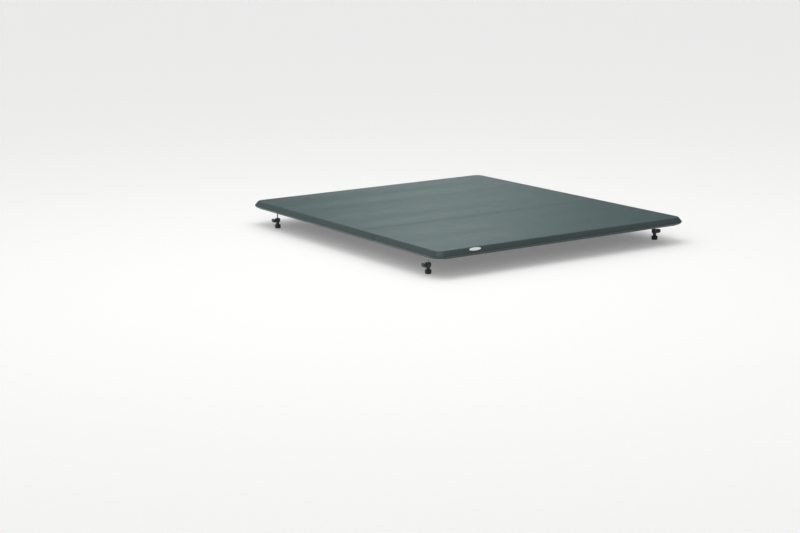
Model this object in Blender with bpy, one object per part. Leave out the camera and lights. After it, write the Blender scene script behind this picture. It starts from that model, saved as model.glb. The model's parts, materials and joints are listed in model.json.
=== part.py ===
"""Soft tri-fold truck bed cover: vinyl panels on folding aluminium frames, held down by four swing clamps.

Metres. X runs across the bed, Y runs forward to the cab and Z is up. The plane z = 0 is the top of the bed
rails, where the rubber seals sit, and the origin is the middle of the cover.
"""
import math

import bmesh
import bpy
from mathutils import Vector

# Cover, across and along: each panel is measured from fold axis to fold axis or outer edge
COVER_WIDTH = 1.720
FRONT_PANEL = 0.655
FRONT_LINK = 0.086
MIDDLE_PANEL = 0.640
REAR_LINK = 0.026
REAR_PANEL = 0.624
CORNER_RADIUS = 0.066

# Skin and fits
VINYL = 0.0012
FIT_GAP = 0.0003
HEM = 0.014
FOLD_LIP = 0.0030

# Edge rail, an open extrusion with a sloped outer wall that is undercut below its nose
SEAL_HEIGHT = 0.0060
RAIL_HEIGHT = 0.0370
RAIL_WIDTH = 0.0560
RAIL_WALL = 0.0025
RAIL_LIP = 0.0080
RAIL_NOSE = 0.0110
UNDERCUT = 0.0110
SLOPE_RUN = 0.0210
FLANGE_END = 0.0420
CREASE_RADIUS = 0.0080
NOSE_RADIUS = 0.0030
EDGE_RADIUS = 0.0015

# Corner casting
TONGUE = 0.036
CORNER_STEPS = 6

# Cross bows
BOW_DEPTH = 0.026
BOW_WALL = 0.0020
BOW_LIP = 0.0070

# Interlocking hinges: a bead on the link turns in an open socket on the bow
PIVOT_DEPTH = 0.0050
FOLD_SETBACK = 0.0070
BEAD_RADIUS = 0.0022
SOCKET_WALL = 0.0013
NECK = 0.0007
WEB_DROP = 0.0018
SOCKET_LOW = 335
SOCKET_HIGH = 115
ARC_STEP = 15
SHELF_END = 0.0660

# Seals
SIDE_SEAL_START = 0.016
SIDE_SEAL_WIDTH = 0.020
END_SEAL_START = 0.017
END_SEAL_WIDTH = 0.030
SEAL_TAPER = 0.0045

# Swing clamps
FRONT_CLAMP_INSET = 0.200
REAR_CLAMP_INSET = 0.190
CLAMP_OFFSET = 0.016
PIVOT_HEIGHT = 0.0240
BRACKET_LENGTH = 0.036
BRACKET_BACK = 0.030
EAR_RADIUS = 0.0090
SLOT_WIDTH = 0.0126
SLOT_BACK = 0.013
PIN_RADIUS = 0.0030
PIN_HEAD = 0.0050
PIN_HEAD_LENGTH = 0.0020
EYE_RADIUS = 0.0080
EYE_WIDTH = 0.0120
STUD_RADIUS = 0.0040
STUD_END = 0.100
STUD_PLAY = 0.0004
JAW_TOP = 0.046
JAW_FLOOR = 0.056
JAW_BOTTOM = 0.068
JAW_HALF = 0.011
JAW_TOOTH = 0.024
JAW_REACH = 0.034
JAW_TOOTH_TOP = 0.048
JAW_CUT = 0.006
JAW_LENGTH = 0.026
KNOB_RADIUS = 0.0180
KNOB_LOBES = 6
KNOB_LOBE_DEPTH = 0.0022
KNOB_HUB = 0.0095
KNOB_HUB_LENGTH = 0.016
KNOB_BOTTOM = 0.106
KNOB_EDGE = 0.0020
KNOB_SIDES = 36

# Places that follow from the sizes above
SKIN = VINYL + FIT_GAP
COVER_LENGTH = FRONT_PANEL + FRONT_LINK + MIDDLE_PANEL + REAR_LINK + REAR_PANEL
HALF_WIDTH = COVER_WIDTH / 2 - SKIN
FRONT_FACE = COVER_LENGTH / 2 - SKIN
REAR_FACE = -FRONT_FACE
FRONT_AXIS_Y = COVER_LENGTH / 2 - FRONT_PANEL
FRONT_SECOND_Y = FRONT_AXIS_Y - FRONT_LINK
REAR_AXIS_Y = FRONT_SECOND_Y - MIDDLE_PANEL
REAR_SECOND_Y = REAR_AXIS_Y - REAR_LINK
RAIL_LOW = SEAL_HEIGHT + FIT_GAP
RAIL_TOP = RAIL_LOW + RAIL_HEIGHT
COVER_TOP = RAIL_TOP + SKIN
AXIS_Z = COVER_TOP - PIVOT_DEPTH
FRAME_SETBACK = FOLD_SETBACK + SKIN
BOW_LOW = RAIL_LOW + RAIL_LIP + FIT_GAP
BOW_HALF = HALF_WIDTH - FLANGE_END - FIT_GAP
SOCKET_IN = BEAD_RADIUS + FIT_GAP
SOCKET_OUT = SOCKET_IN + SOCKET_WALL
CLAMP_U = RAIL_WIDTH + CLAMP_OFFSET
CLAMP_X = HALF_WIDTH - CLAMP_U
FRONT_CLAMP_Y = FRONT_FACE - FRONT_CLAMP_INSET
REAR_CLAMP_Y = REAR_FACE + REAR_CLAMP_INSET
CORNER_X = HALF_WIDTH - CORNER_RADIUS
CORNER_Y = FRONT_FACE - CORNER_RADIUS
STRAIGHT_X = CORNER_X - FIT_GAP
STRAIGHT_Y = CORNER_Y - FIT_GAP

# The rail's section, from the inner lip round the nose to the top flange: inward from the outer face, and height
RAIL_CORNERS = [
    (RAIL_WIDTH, RAIL_LOW + RAIL_LIP),
    (RAIL_WIDTH, RAIL_LOW),
    (UNDERCUT, RAIL_LOW),
    (0, RAIL_LOW + RAIL_NOSE),
    (SLOPE_RUN, RAIL_TOP),
    (FLANGE_END, RAIL_TOP),
]
RAIL_RADII = [0, EDGE_RADIUS, NOSE_RADIUS, CREASE_RADIUS]
SIDE_TURNS = {"left": 0, "rear": 90, "right": 180, "front": 270}
AXIS_POINTS = {}


# Outlines
def arc(centre, radius, start, end):
    count = max(1, round(abs(end - start) / ARC_STEP))
    angles = [math.radians(start + (end - start) * i / count) for i in range(count + 1)]
    return [(centre[0] + radius * math.cos(a), centre[1] + radius * math.sin(a)) for a in angles]


def shifted(corners, distance):
    """Moves an open path to its right by a distance, keeping its corners sharp."""
    points = [Vector(corner) for corner in corners]
    steps = [(b - a).normalized() for a, b in zip(points, points[1:])]
    normals = [Vector((step.y, -step.x)) for step in steps]
    moved = [points[0] + normals[0] * distance]
    for point, one, two in zip(points[1:], normals, normals[1:]):
        moved.append(point + (one + two) * distance / (1 + one.dot(two)))
    moved.append(points[-1] + normals[-1] * distance)
    return [tuple(point) for point in moved]


def rounded(corners, radii):
    """Replaces each inner corner of an open path with an arc."""
    points = [Vector(corner) for corner in corners]
    path = [tuple(points[0])]
    for before, corner, after, radius in zip(points, points[1:], points[2:], radii):
        if radius <= 0:
            path.append(tuple(corner))
            continue
        back = (before - corner).normalized()
        ahead = (after - corner).normalized()
        half = back.angle(ahead) / 2
        centre = corner + (back + ahead).normalized() * radius / math.sin(half)
        first = corner + back * radius / math.tan(half) - centre
        last = corner + ahead * radius / math.tan(half) - centre
        sweep = first.angle(last)
        count = max(2, round(math.degrees(sweep) / ARC_STEP))
        for i in range(count + 1):
            part = sweep * i / count
            spoke = (first * math.sin(sweep - part) + last * math.sin(part)) / math.sin(sweep)
            path.append(tuple(centre + spoke))
    path.append(tuple(points[-1]))
    return path


def walled(corners, radii, wall):
    """The closed outline of a sheet of even thickness that follows a path."""
    inner_radii = [max(0, radius - wall) for radius in radii]
    return rounded(corners, radii) + rounded(shifted(corners, wall), inner_radii)[::-1]


def link_cap_outline():
    shelf = AXIS_Z - NECK - FIT_GAP
    corners = RAIL_CORNERS + [(FLANGE_END, shelf), (SHELF_END, shelf)]
    return walled(corners, RAIL_RADII + [0, 0], RAIL_WALL)


def bow_walls(face):
    """The hollow side of a bow, from its inner top round the two bottom lips."""
    back = face + BOW_DEPTH
    low = BOW_LOW + BOW_WALL
    high = RAIL_TOP - BOW_WALL
    return [
        (back, RAIL_TOP),
        (back, BOW_LOW),
        (back - BOW_LIP, BOW_LOW),
        (back - BOW_LIP, low),
        (back - BOW_WALL, low),
        (back - BOW_WALL, high),
        (face + BOW_WALL, high),
        (face + BOW_WALL, low),
        (face + BOW_LIP, low),
        (face + BOW_LIP, BOW_LOW),
        (face, BOW_LOW),
    ]


def support_bow_outline():
    face = -BOW_DEPTH / 2
    return bow_walls(face) + [(face, RAIL_TOP)]


def fold_bow_outline():
    """A bow with a hinge socket on its fold side: distance in from the fold axis, and height."""
    web_low = math.degrees(math.asin(WEB_DROP / SOCKET_OUT))
    web_high = math.degrees(math.asin(NECK / SOCKET_OUT))
    socket = arc((0, AXIS_Z), SOCKET_OUT, 180 + web_low, SOCKET_LOW)
    socket += arc((0, AXIS_Z), SOCKET_IN, SOCKET_LOW, SOCKET_HIGH)
    socket += arc((0, AXIS_Z), SOCKET_OUT, SOCKET_HIGH, 180 - web_high)
    mirrored = [(-across, height) for across, height in socket]
    face = FRAME_SETBACK
    web = [(face, AXIS_Z - WEB_DROP)] + mirrored + [(face, AXIS_Z + NECK)]
    return bow_walls(face) + web + [(face, RAIL_TOP)]


def link_bar_outline(width):
    """A flat bar with a hinge bead along each edge."""
    neck = math.degrees(math.asin(NECK / BEAD_RADIUS))
    near = arc((0, AXIS_Z), BEAD_RADIUS, neck, 360 - neck)
    far = arc((width, AXIS_Z), BEAD_RADIUS, 180 + neck, 540 - neck)
    start = FRAME_SETBACK
    end = width - FRAME_SETBACK
    top = [(end, AXIS_Z + NECK), (end, RAIL_TOP), (start, RAIL_TOP), (start, AXIS_Z + NECK)]
    return near + far + top


def seal_outline(start, width):
    end = start + width
    middle = SEAL_HEIGHT / 2
    return [
        (start, SEAL_HEIGHT),
        (start, middle),
        (start + SEAL_TAPER, 0),
        (end - SEAL_TAPER, 0),
        (end, middle),
        (end, SEAL_HEIGHT),
    ]


def bracket_outline():
    """A foot in the rail's channel and an ear round the clamp's pivot."""
    foot = RAIL_LOW + RAIL_WALL + FIT_GAP
    heel = RAIL_WIDTH - RAIL_WALL - FIT_GAP
    ear = arc((CLAMP_U, PIVOT_HEIGHT), EAR_RADIUS, -90, 90)
    under = PIVOT_HEIGHT - EAR_RADIUS
    return [(BRACKET_BACK, foot), (heel, foot), (heel, under)] + ear + [(BRACKET_BACK, PIVOT_HEIGHT + EAR_RADIUS)]


def jaw_outline():
    """A hooked jaw, measured inward from the stud and down from the seat."""
    return [
        (JAW_HALF, -JAW_BOTTOM),
        (JAW_HALF, -JAW_TOP),
        (-JAW_HALF, -JAW_TOP),
        (-JAW_HALF, -JAW_FLOOR),
        (-JAW_TOOTH, -JAW_FLOOR),
        (-JAW_TOOTH, -JAW_TOOTH_TOP),
        (-JAW_REACH, -JAW_TOOTH_TOP),
        (-JAW_REACH, -JAW_BOTTOM + JAW_CUT),
        (-JAW_REACH + JAW_CUT, -JAW_BOTTOM),
    ]


# Meshes
def finished(name, bm):
    bmesh.ops.recalc_face_normals(bm, faces=bm.faces)
    mesh = bpy.data.meshes.new(name)
    bm.to_mesh(mesh)
    bm.free()
    return mesh


def prism(name, outline, length, start=0.0):
    """Extrudes an outline in local XY along local Z."""
    bm = bmesh.new()
    corners = [bm.verts.new((x, y, start)) for x, y in outline]
    cap = bm.faces.new(corners)
    grown = bmesh.ops.extrude_face_region(bm, geom=[cap])
    far = [item for item in grown["geom"] if isinstance(item, bmesh.types.BMVert)]
    bmesh.ops.translate(bm, verts=far, vec=(0, 0, length))
    return finished(name, bm)


def turned(name, rings, sides, lobes=0):
    """Joins rings of radius, height and lobe depth about local Z, and caps both ends."""
    bm = bmesh.new()
    loops = []
    for radius, height, depth in rings:
        loop = []
        for i in range(sides):
            angle = math.tau * i / sides
            reach = radius - depth * (1 - math.cos(lobes * angle)) / 2
            loop.append(bm.verts.new((reach * math.cos(angle), reach * math.sin(angle), height)))
        loops.append(loop)
    for low, high in zip(loops, loops[1:]):
        joined_loops(bm, low, high)
    bm.faces.new(loops[0])
    bm.faces.new(loops[-1])
    return finished(name, bm)


def combined(name, base, steps):
    """Joins meshes to a base, or cuts them from it, and returns the result as one mesh."""
    scene = bpy.context.scene
    body = bpy.data.objects.new(name, base)
    scene.collection.objects.link(body)
    tools = []
    for operation, mesh, location, rotation in steps:
        tool = bpy.data.objects.new(name + "_tool", mesh)
        tool.location = location
        tool.rotation_euler = rotation
        scene.collection.objects.link(tool)
        tools.append(tool)
        modifier = body.modifiers.new(operation.lower(), "BOOLEAN")
        modifier.operation = operation
        modifier.solver = "EXACT"
        modifier.object = tool
    bpy.context.view_layer.update()
    graph = bpy.context.evaluated_depsgraph_get()
    result = bpy.data.meshes.new_from_object(body.evaluated_get(graph))
    result.name = name
    for helper in tools + [body]:
        bpy.data.objects.remove(helper)
    return result


def corner_mesh():
    """The rail's section, filled, swept through a quarter turn, with a tongue into each rail."""
    bm = bmesh.new()
    section = rounded(RAIL_CORNERS, RAIL_RADII)
    columns = []
    for i in range(CORNER_STEPS + 1):
        angle = math.radians(180 + 90 * i / CORNER_STEPS)
        spoke = Vector((math.cos(angle), math.sin(angle)))
        columns.append(section_loop(bm, section, spoke, Vector((0, 0))))
    for one, two in zip(columns, columns[1:]):
        joined_loops(bm, one, two)
    inset = RAIL_WALL + FIT_GAP
    tongue = rounded(shifted(RAIL_CORNERS, inset), [0, 0, 0, max(0, CREASE_RADIUS - inset)])
    for loop, spoke, reach in ((columns[0], (-1, 0), (0, TONGUE)), (columns[-1], (0, -1), (TONGUE, 0))):
        root = section_loop(bm, tongue, Vector(spoke), Vector((0, 0)))
        tip = section_loop(bm, tongue, Vector(spoke), Vector(reach))
        rim = loop_edges(bm, loop) + loop_edges(bm, root)
        bmesh.ops.triangle_fill(bm, use_beauty=True, use_dissolve=False, edges=rim)
        joined_loops(bm, root, tip)
        bm.faces.new(tip)
    return finished("corner", bm)


def section_loop(bm, section, spoke, reach):
    """A loop of a section that stands out along a spoke from a corner's centre."""
    places = [(spoke * (CORNER_RADIUS - inward) + reach, height) for inward, height in section]
    return [bm.verts.new((place.x, place.y, height)) for place, height in places]


def loop_edges(bm, loop):
    pairs = zip(loop, loop[1:] + loop[:1])
    return [bm.edges.get(pair) or bm.edges.new(pair) for pair in pairs]


def joined_loops(bm, one, two):
    for i in range(len(one)):
        j = (i + 1) % len(one)
        bm.faces.new((one[i], one[j], two[j], two[i]))


def bracket_mesh():
    half = BRACKET_LENGTH / 2
    body = prism("bracket_body", bracket_outline(), BRACKET_LENGTH, -half)
    slot_start = CLAMP_U - SLOT_BACK
    slot_end = CLAMP_U + EAR_RADIUS * 2
    slot = [(slot_start, 0), (slot_end, 0), (slot_end, COVER_TOP), (slot_start, COVER_TOP)]
    slot_cut = prism("slot", slot, SLOT_WIDTH, -SLOT_WIDTH / 2)
    hole = PIN_RADIUS + FIT_GAP
    hole_cut = turned("hole", [(hole, -BRACKET_LENGTH, 0), (hole, BRACKET_LENGTH, 0)], 16)
    steps = [
        ("DIFFERENCE", slot_cut, (0, 0, 0), (0, 0, 0)),
        ("DIFFERENCE", hole_cut, (CLAMP_U, PIVOT_HEIGHT, 0), (0, 0, 0)),
    ]
    return combined("bracket", body, steps)


def stud_mesh():
    """A threaded stud hanging from an eye, measured from the pivot."""
    half = EYE_WIDTH / 2
    eye = turned("eye", [(EYE_RADIUS, -half, 0), (EYE_RADIUS, half, 0)], 24)
    reach = PIVOT_HEIGHT + STUD_END
    shank_rings = [(STUD_RADIUS, EYE_RADIUS / 2, 0), (STUD_RADIUS, reach, 0)]
    shank = turned("shank", shank_rings, 16)
    hole = PIN_RADIUS + FIT_GAP
    hole_cut = turned("hole", [(hole, -EYE_WIDTH, 0), (hole, EYE_WIDTH, 0)], 16)
    steps = [
        ("UNION", shank, (0, 0, 0), (math.radians(90), 0, 0)),
        ("DIFFERENCE", hole_cut, (0, 0, 0), (0, 0, 0)),
    ]
    return combined("stud", eye, steps)


def pin_mesh():
    half = BRACKET_LENGTH / 2 + FIT_GAP
    rings = [
        (PIN_HEAD, -half - PIN_HEAD_LENGTH, 0),
        (PIN_HEAD, -half, 0),
        (PIN_RADIUS, -half, 0),
        (PIN_RADIUS, half + PIN_HEAD_LENGTH, 0),
    ]
    return turned("pin", rings, 16)


def jaw_mesh():
    block = prism("jaw_block", jaw_outline(), JAW_LENGTH, -JAW_LENGTH / 2)
    bore = STUD_RADIUS + STUD_PLAY
    bore_cut = turned("bore", [(bore, JAW_TOP / 2, 0), (bore, KNOB_BOTTOM, 0)], 16)
    return combined("jaw", block, [("DIFFERENCE", bore_cut, (0, 0, 0), (math.radians(90), 0, 0))])


def knob_mesh():
    """A lobed hand knob with a blind bore, measured down from the seat."""
    bore = STUD_RADIUS + STUD_PLAY
    top = -JAW_BOTTOM - FIT_GAP
    head = top - KNOB_HUB_LENGTH
    rings = [
        (bore, -STUD_END - FIT_GAP * 2, 0),
        (bore, top, 0),
        (KNOB_HUB, top, 0),
        (KNOB_HUB, head, 0),
        (KNOB_RADIUS - KNOB_EDGE, head, KNOB_LOBE_DEPTH),
        (KNOB_RADIUS, head - KNOB_EDGE, KNOB_LOBE_DEPTH),
        (KNOB_RADIUS, KNOB_EDGE - KNOB_BOTTOM, KNOB_LOBE_DEPTH),
        (KNOB_RADIUS - KNOB_EDGE, -KNOB_BOTTOM, KNOB_LOBE_DEPTH),
    ]
    return turned("knob", rings, KNOB_SIDES, KNOB_LOBES)


def skin_mesh(name, chains):
    """A vinyl skin over a panel.

    Each chain lists points on the frame's outer face, with the way out of it. The skin hangs over the rail along
    a chain, and turns down in a short lip between the end of one chain and the start of the next.
    """
    bm = bmesh.new()
    hem_path = [(HEM, RAIL_LOW)] + RAIL_CORNERS[2:]
    outside = rounded(shifted(hem_path, -SKIN), [radius + SKIN for radius in RAIL_RADII[1:]])
    inside = rounded(shifted(hem_path, -FIT_GAP), [radius + FIT_GAP for radius in RAIL_RADII[1:]])
    section = outside[::-1] + inside
    top, under, ends = [], [], []
    for chain in chains:
        columns = []
        for anchor, outward in chain:
            places = [(Vector(anchor) - Vector(outward) * inward, height) for inward, height in section]
            columns.append([bm.verts.new((place.x, place.y, height)) for place, height in places])
        for one, two in zip(columns, columns[1:]):
            for i in range(len(section) - 1):
                bm.faces.new((one[i], one[i + 1], two[i + 1], two[i]))
        bm.faces.new(columns[0])
        bm.faces.new(columns[-1])
        top += [column[0] for column in columns]
        under += [column[-1] for column in columns[1:-1]]
        ends.append((columns[0], columns[1]))
        ends.append((columns[-1], columns[-2]))
    bm.faces.new(top)
    bm.faces.new(under)
    drop = Vector((0, 0, FOLD_LIP))
    for (edge, inner), (next_edge, next_inner) in zip(ends[1::2], ends[2::2] + ends[:1]):
        near = [bm.verts.new(column[0].co - drop) for column in (edge, next_edge)]
        far = [bm.verts.new((*column[0].co.xy, near[0].co.z)) for column in (inner, next_inner)]
        bm.faces.new((edge[0], edge[-1], near[0], near[1], next_edge[-1], next_edge[0]))
        bm.faces.new((near[0], far[0], far[1], near[1]))
        bm.faces.new((inner[-1], next_inner[-1], far[1], far[0]))
        bm.faces.new((edge[-1], inner[-1], far[0], near[0]))
        bm.faces.new((next_edge[-1], next_inner[-1], far[1], near[1]))
    return finished(name, bm)


# Objects
def finish(name, colour, roughness, metallic=0.0):
    material = bpy.data.materials.new(name)
    material.use_nodes = True
    shader = material.node_tree.nodes["Principled BSDF"]
    shader.inputs["Base Color"].default_value = (*colour, 1)
    shader.inputs["Roughness"].default_value = roughness
    shader.inputs["Metallic"].default_value = metallic
    return material


def add_axis(name, point, parent=None):
    """An empty on a joint's axis, which carries the pieces that the joint moves."""
    axis = bpy.data.objects.new(name, None)
    bpy.context.scene.collection.objects.link(axis)
    AXIS_POINTS[name] = Vector(point)
    axis.parent = parent
    base = AXIS_POINTS[parent.name] if parent else Vector((0, 0, 0))
    axis.location = Vector(point) - base
    return axis


def add_part(name, mesh, material, parent, location, turn):
    part = bpy.data.objects.new(name, mesh)
    bpy.context.scene.collection.objects.link(part)
    if not mesh.materials:
        mesh.materials.append(material)
    part.parent = parent
    part.location = Vector(location) - AXIS_POINTS[parent.name]
    part.rotation_euler = [math.radians(angle) for angle in turn]
    return part


def edge_run(name, outline, side, low, high, material, parent):
    """A straight run along one edge of the cover, between two places on that edge."""
    start = high if side in ("left", "front") else low
    places = {
        "left": (-HALF_WIDTH, start, 0),
        "right": (HALF_WIDTH, start, 0),
        "rear": (start, REAR_FACE, 0),
        "front": (start, FRONT_FACE, 0),
    }
    mesh = prism(name, outline, high - low)
    return add_part(name, mesh, material, parent, places[side], (90, 0, SIDE_TURNS[side]))


def cross_run(name, outline, facing, y, material, parent):
    """A straight run across the cover. Its outline is measured away from the edge that it faces."""
    start = -BOW_HALF if facing == "rear" else BOW_HALF
    mesh = prism(name, outline, BOW_HALF * 2)
    return add_part(name, mesh, material, parent, (start, y, 0), (90, 0, SIDE_TURNS[facing]))


def add_skin(name, chains, material, parent):
    return add_part(name, skin_mesh(name, chains), material, parent, (0, 0, 0), (0, 0, 0))


def side_chains(front, rear):
    """Both sides of a panel between two folds, with a step at each end for the thickness of the fold lip."""
    places = (front, front - VINYL, rear + VINYL, rear)
    left = [((-HALF_WIDTH, y), (-1, 0)) for y in places]
    right = [((HALF_WIDTH, y), (1, 0)) for y in places[::-1]]
    return [left, right]


def end_chain(fold_y, end_sign):
    """The edge of an end panel, from its fold along one side, round both corners and back along the other."""
    lip_y = fold_y + end_sign * VINYL
    chain = [((-end_sign * HALF_WIDTH, y), (-end_sign, 0)) for y in (fold_y, lip_y)]
    for side in (-1, 1):
        centre = Vector((end_sign * side * CORNER_X, end_sign * CORNER_Y))
        for i in range(CORNER_STEPS + 1):
            part = i / CORNER_STEPS if side < 0 else 1 - i / CORNER_STEPS
            angle = math.radians(90 * part)
            spoke = Vector((end_sign * side * math.cos(angle), end_sign * math.sin(angle)))
            chain.append((centre + spoke * CORNER_RADIUS, spoke))
    chain += [((end_sign * HALF_WIDTH, y), (end_sign, 0)) for y in (lip_y, fold_y)]
    return [chain]


def add_sides(panel, front, rear, looks, parent):
    """Both side rails of a panel and the seals under them."""
    rail = walled(RAIL_CORNERS, RAIL_RADII, RAIL_WALL)
    seal = seal_outline(SIDE_SEAL_START, SIDE_SEAL_WIDTH)
    for side in ("left", "right"):
        edge_run(f"{panel}_rail_{side}", rail, side, rear, front, looks["frame"], parent)
        edge_run(f"{panel}_seal_{side}", seal, side, rear, front, looks["rubber"], parent)


def add_end(panel, side, bar_name, seal_name, corners, looks, parent):
    """The rail, corner castings and seal at the front or rear of the cover."""
    rail = walled(RAIL_CORNERS, RAIL_RADII, RAIL_WALL)
    seal = seal_outline(END_SEAL_START, END_SEAL_WIDTH)
    edge_run(bar_name, rail, side, -STRAIGHT_X, STRAIGHT_X, looks["frame"], parent)
    edge_run(seal_name, seal, side, -STRAIGHT_X, STRAIGHT_X, looks["rubber"], parent)
    for hand, across, along, turn in corners:
        place = (across * CORNER_X, along * CORNER_Y, 0)
        add_part(f"{panel}_corner_{hand}", looks["corner"], looks["casting"], parent, place, (0, 0, turn))


def add_link(name, front_y, width, looks, parent):
    """The piece between two panels: a beaded bar, its skin and an edge piece at each end."""
    start = front_y - FRAME_SETBACK
    end = front_y - width + FRAME_SETBACK
    cross_run(f"{name}_hinge_bar", link_bar_outline(width), "front", front_y, looks["frame"], parent)
    for side in ("left", "right"):
        edge_run(f"{name}_end_{side}", link_cap_outline(), side, end, start, looks["casting"], parent)
    chains = side_chains(front_y - FOLD_SETBACK, front_y - width + FOLD_SETBACK)
    add_skin(f"{name}_vinyl", chains, looks["vinyl"], parent)


def add_clamp(name, side, y, looks, panel):
    """A bracket on the rail, and a stud that swings on a pin and carries a hooked jaw and a knob."""
    hand = -1 if side == "left" else 1
    turn = SIDE_TURNS[side]
    pivot = (hand * CLAMP_X, y, PIVOT_HEIGHT)
    stud_line = (hand * CLAMP_X, y, 0)
    add_part(f"{name}_bracket", looks["bracket"], looks["casting"], panel, (hand * HALF_WIDTH, y, 0), (90, 0, turn))
    add_part(f"{name}_pin", looks["pin"], looks["steel"], panel, pivot, (90, 0, turn))
    swing = add_axis(f"{name}_swing_axis", pivot, panel)
    add_part(f"{name}_stud", looks["stud"], looks["steel"], swing, pivot, (90, 0, turn))
    add_part(f"{name}_jaw", looks["jaw"], looks["casting"], swing, stud_line, (90, 0, turn))
    add_part(f"{name}_knob", looks["knob"], looks["plastic"], swing, stud_line, (0, 0, turn))


def build():
    for item in list(bpy.data.objects):
        bpy.data.objects.remove(item)
    looks = {
        "vinyl": finish("black_vinyl", (0.030, 0.032, 0.034), 0.45),
        "frame": finish("black_aluminium", (0.040, 0.040, 0.042), 0.40, 0.6),
        "casting": finish("cast_aluminium", (0.075, 0.076, 0.080), 0.50, 0.6),
        "rubber": finish("black_rubber", (0.018, 0.018, 0.018), 0.80),
        "steel": finish("zinc_steel", (0.55, 0.55, 0.53), 0.35, 1.0),
        "plastic": finish("black_plastic", (0.022, 0.022, 0.024), 0.55),
        "corner": corner_mesh(),
        "bracket": bracket_mesh(),
        "pin": pin_mesh(),
        "stud": stud_mesh(),
        "jaw": jaw_mesh(),
        "knob": knob_mesh(),
    }

    # Axes
    front = add_axis("front_panel_axis", (0, 0, 0))
    front_link = add_axis("front_fold_axis", (0, FRONT_AXIS_Y, AXIS_Z), front)
    middle = add_axis("front_fold_second_axis", (0, FRONT_SECOND_Y, AXIS_Z), front_link)
    rear_link = add_axis("rear_fold_axis", (0, REAR_AXIS_Y, AXIS_Z), middle)
    rear = add_axis("rear_fold_second_axis", (0, REAR_SECOND_Y, AXIS_Z), rear_link)

    # Front panel
    front_corners = [("left", -1, 1, 270), ("right", 1, 1, 180)]
    add_end("front", "front", "front_header", "bulkhead_seal", front_corners, looks, front)
    add_sides("front", STRAIGHT_Y, FRONT_AXIS_Y + FRAME_SETBACK, looks, front)
    cross_run("front_fold_bow", fold_bow_outline(), "rear", FRONT_AXIS_Y, looks["frame"], front)
    front_middle = FRONT_AXIS_Y + FRONT_PANEL / 2
    cross_run("front_support_bow", support_bow_outline(), "rear", front_middle, looks["frame"], front)
    add_skin("front_vinyl", end_chain(FRONT_AXIS_Y + FOLD_SETBACK, 1), looks["vinyl"], front)

    # Front fold
    add_link("front_link", FRONT_AXIS_Y, FRONT_LINK, looks, front_link)

    # Middle panel
    middle_front = FRONT_SECOND_Y - FRAME_SETBACK
    middle_rear = REAR_AXIS_Y + FRAME_SETBACK
    add_sides("middle", middle_front, middle_rear, looks, middle)
    cross_run("middle_fold_bow_front", fold_bow_outline(), "front", FRONT_SECOND_Y, looks["frame"], middle)
    cross_run("middle_fold_bow_rear", fold_bow_outline(), "rear", REAR_AXIS_Y, looks["frame"], middle)
    middle_middle = REAR_AXIS_Y + MIDDLE_PANEL / 2
    cross_run("middle_support_bow", support_bow_outline(), "rear", middle_middle, looks["frame"], middle)
    middle_chains = side_chains(FRONT_SECOND_Y - FOLD_SETBACK, REAR_AXIS_Y + FOLD_SETBACK)
    add_skin("middle_vinyl", middle_chains, looks["vinyl"], middle)

    # Rear fold
    add_link("rear_link", REAR_AXIS_Y, REAR_LINK, looks, rear_link)

    # Rear panel
    rear_corners = [("left", -1, -1, 0), ("right", 1, -1, 90)]
    add_end("rear", "rear", "rear_header", "tailgate_seal", rear_corners, looks, rear)
    add_sides("rear", REAR_SECOND_Y - FRAME_SETBACK, -STRAIGHT_Y, looks, rear)
    cross_run("rear_fold_bow", fold_bow_outline(), "front", REAR_SECOND_Y, looks["frame"], rear)
    rear_middle = REAR_SECOND_Y - REAR_PANEL / 2
    cross_run("rear_support_bow", support_bow_outline(), "rear", rear_middle, looks["frame"], rear)
    add_skin("rear_vinyl", end_chain(REAR_SECOND_Y - FOLD_SETBACK, -1), looks["vinyl"], rear)

    # Clamps
    for side in ("left", "right"):
        add_clamp(f"front_clamp_{side}", side, FRONT_CLAMP_Y, looks, front)
        add_clamp(f"rear_clamp_{side}", side, REAR_CLAMP_Y, looks, rear)


build()
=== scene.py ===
"""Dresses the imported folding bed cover: grained vinyl sheets, finishes, fasteners, clamp details and stage.

Metres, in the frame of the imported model: X across the bed, Y forward, Z up, and z = 0 where the seals sit.
"""

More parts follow.
